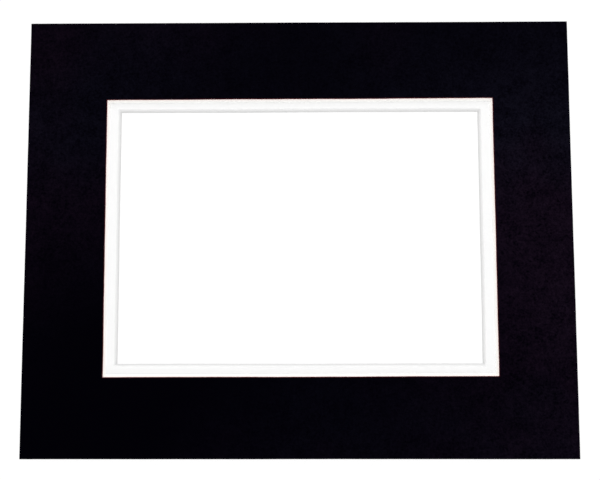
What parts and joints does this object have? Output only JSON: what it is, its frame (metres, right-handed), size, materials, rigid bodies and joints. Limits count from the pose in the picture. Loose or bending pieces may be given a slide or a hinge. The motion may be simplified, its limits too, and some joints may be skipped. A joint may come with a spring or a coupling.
{
  "type": "double picture mount",
  "caption": "Rectangular window mount of black-faced board bonded over a white under board, with stepped bevel-cut windows that frame a picture.",
  "frame": {"origin": "middle of the outer rectangle, on the plane of the under board's back, which the mount lies on", "axes": "+X along the long side to the viewer's right, +Y up the picture, +Z out of the face"},
  "size_m": [0.254, 0.2032, 0.0029],
  "materials": {
    "black_facing_paper": "matte",
    "white_core": "matte",
    "white_mount_board": "matte",
    "double_sided_tape": "satin"
  },
  "bodies": {
    "root": {"top_board_facing_paper": "black_facing_paper", "top_board_core": "white_core", "under_board": "white_mount_board", "bonding_tape_top": "double_sided_tape", "bonding_tape_bottom": "double_sided_tape", "bonding_tape_left": "double_sided_tape", "bonding_tape_right": "double_sided_tape"}
  },
  "joints": []
}
